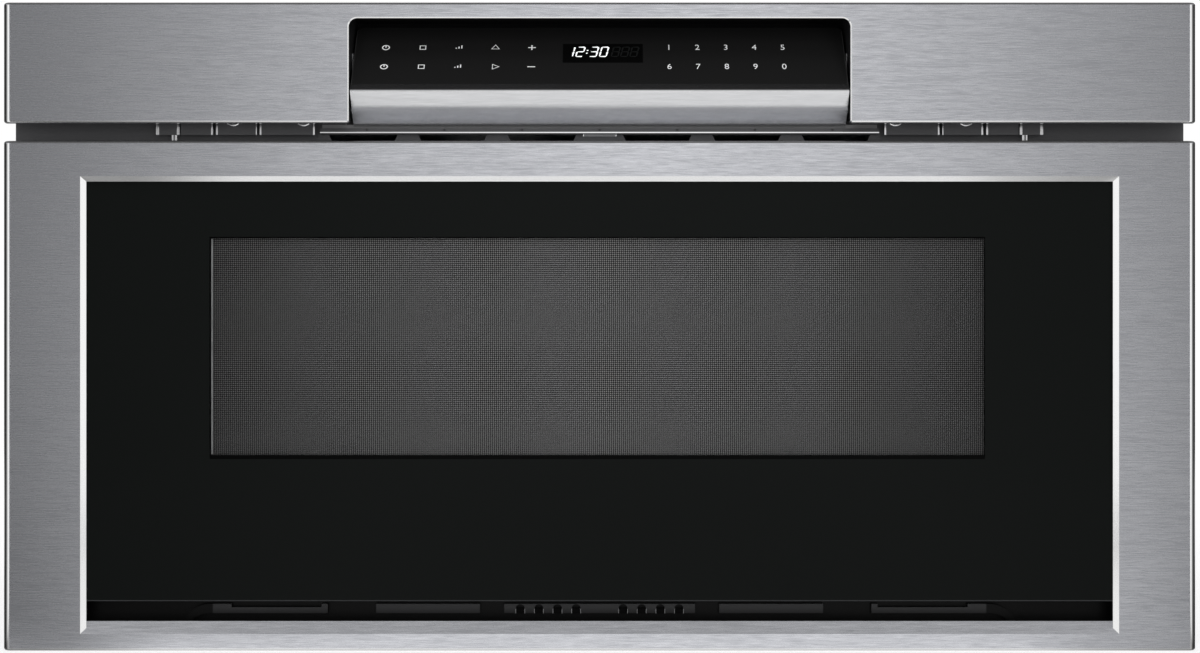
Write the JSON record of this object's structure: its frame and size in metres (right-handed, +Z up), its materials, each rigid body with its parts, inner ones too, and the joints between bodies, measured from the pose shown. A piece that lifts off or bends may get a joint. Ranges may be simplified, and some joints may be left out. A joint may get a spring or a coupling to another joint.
{
  "type": "microwave drawer",
  "caption": "Built-in microwave drawer: stainless front with a black glass window slides out on telescopic rails; a touch console tilts open above it.",
  "frame": {"origin": "under the middle of the whole appliance, level with the lower edge of the drawer front", "axes": "+X to the right as the user sees it, +Y back into the cabinet, +Z up; the front faces -Y"},
  "size_m": [0.7588, 0.68, 0.412],
  "materials": {
    "stainless": "vertical soft reflections, horizontal brushing, bright bent edges",
    "apron_steel": "brushed stainless lip",
    "black_glass": "gloss black printed glass",
    "clear_glass": "clear toughened pane",
    "ceramic_glass": "smooth dark ceramic glass",
    "galvanised_steel": "galvanised sheet with a faint spangle",
    "zinc_steel": "bright zinc plated steel",
    "bright_steel": "plain plated steel",
    "dark_flange": "satin dark grey paint",
    "grey_enamel": "smooth grey oven paint",
    "perforated_steel": "black painted perforated sheet",
    "black_plastic": "moulded, fine grain",
    "pale_plastic": "natural acetal",
    "red_plastic": "moulded switch plunger",
    "aluminium": "plain rolled",
    "mica": "pressed mica sheet",
    "rubber": "soft bumper",
    "lamination_steel": "varnished laminations",
    "copper_wire": "enamelled copper",
    "lamp_ceramic": "glazed holder and bulb",
    "display": "display window",
    "circuit_board": "solder-masked board"
  },
  "bodies": {
    "housing": {"base_pan": "galvanised_steel", "outer_cover": "galvanised_steel", "back_panel": "galvanised_steel", "cord_gland": "black_plastic", "front_flange": "dark_flange", "cavity_shell": "grey_enamel", "antenna_cover": "mica", "air_duct": "galvanised_steel", "vent_grille": "dark_flange", "vent_baffle": "dark_flange", "fascia": "stainless", "fascia_brackets": "galvanised_steel", "console_cradle": "black_plastic", "slide_outers": "zinc_steel", "slide_brackets": "galvanised_steel", "motor_bracket": "galvanised_steel", "drive_motor": "bright_steel", "switch_brackets": "galvanised_steel", "interlock_switches": "black_plastic", "door_bumpers": "rubber", "waveguide": "galvanised_steel", "antenna_motor": "bright_steel", "magnetron": "bright_steel", "transformer_core": "lamination_steel", "transformer_windings": "copper_wire", "hv_capacitor": "aluminium", "cavity_lamp": "lamp_ceramic", "fan_shroud": "black_plastic", "fan_motor": "bright_steel", "board_tray": "pale_plastic", "main_board": "circuit_board", "case_screws": "zinc_steel"},
    "drawer": {"door_frame": "stainless", "door_glass": "black_glass", "door_screen": "perforated_steel", "door_panel": "grey_enamel", "choke_cover": "black_plastic", "inner_window": "clear_glass", "vent_trim": "black_plastic", "drawer_bin": "grey_enamel", "drawer_floor": "ceramic_glass", "slide_inners": "zinc_steel", "drawer_arms": "zinc_steel", "drive_rack": "pale_plastic", "interlock_fingers": "black_plastic", "drawer_screws": "zinc_steel"},
    "console": {"console_glass": "black_glass", "console_apron": "apron_steel", "console_body": "black_plastic", "console_hinge_pins": "bright_steel", "console_display": "display", "touch_board": "circuit_board"},
    "slide_middle_left": {"slide_middle_left": "zinc_steel"},
    "slide_middle_right": {"slide_middle_right": "zinc_steel"},
    "fan_rotor": {"fan_rotor": "black_plastic"},
    "stirrer_antenna": {"stirrer_antenna": "aluminium"},
    "drive_pinion": {"drive_pinion": "pale_plastic"},
    "switch_plunger_left": {"switch_plunger_left": "red_plastic"},
    "switch_plunger_right": {"switch_plunger_right": "red_plastic"}
  },
  "joints": [
    {"name": "drawer_slide", "type": "slide", "parent": "housing", "child": "drawer", "axis": [0, -1, 0], "range_m": [0, 0.39]},
    {"name": "left_rail_slide", "type": "slide", "parent": "housing", "child": "slide_middle_left", "axis": [0, -1, 0], "range_m": [0, 0.195]},
    {"name": "right_rail_slide", "type": "slide", "parent": "housing", "child": "slide_middle_right", "axis": [0, -1, 0], "range_m": [0, 0.195]},
    {"name": "pinion_turn", "type": "hinge", "parent": "housing", "child": "drive_pinion", "pos_m": [0.023, -0.265, 0.043], "axis": [0, 0, 1], "range_deg": [0, 1495]},
    {"name": "console_tilt", "type": "hinge", "parent": "housing", "child": "console", "pos_m": [0, -0.3157, 0.34597], "axis": [1, 0, 0], "range_deg": [0, 45]},
    {"name": "fan_turn", "type": "hinge", "parent": "housing", "child": "fan_rotor", "pos_m": [0.21, 0.32, 0.215], "axis": [0, 1, 0], "continuous": true},
    {"name": "antenna_turn", "type": "hinge", "parent": "housing", "child": "stirrer_antenna", "pos_m": [0, -0.09, 0.085], "axis": [0, 0, 1], "continuous": true},
    {"name": "left_plunger_press", "type": "slide", "parent": "housing", "child": "switch_plunger_left", "axis": [0, 1, 0], "range_m": [0, 0.002]},
    {"name": "right_plunger_press", "type": "slide", "parent": "housing", "child": "switch_plunger_right", "axis": [0, 1, 0], "range_m": [0, 0.002]}
  ],
  "couplings": [
    {"joint": "left_rail_slide", "follows": "drawer_slide", "ratio": 0.5},
    {"joint": "right_rail_slide", "follows": "drawer_slide", "ratio": 0.5},
    {"joint": "pinion_turn", "follows": "drawer_slide", "rad_per_m": 66.667}
  ]
}
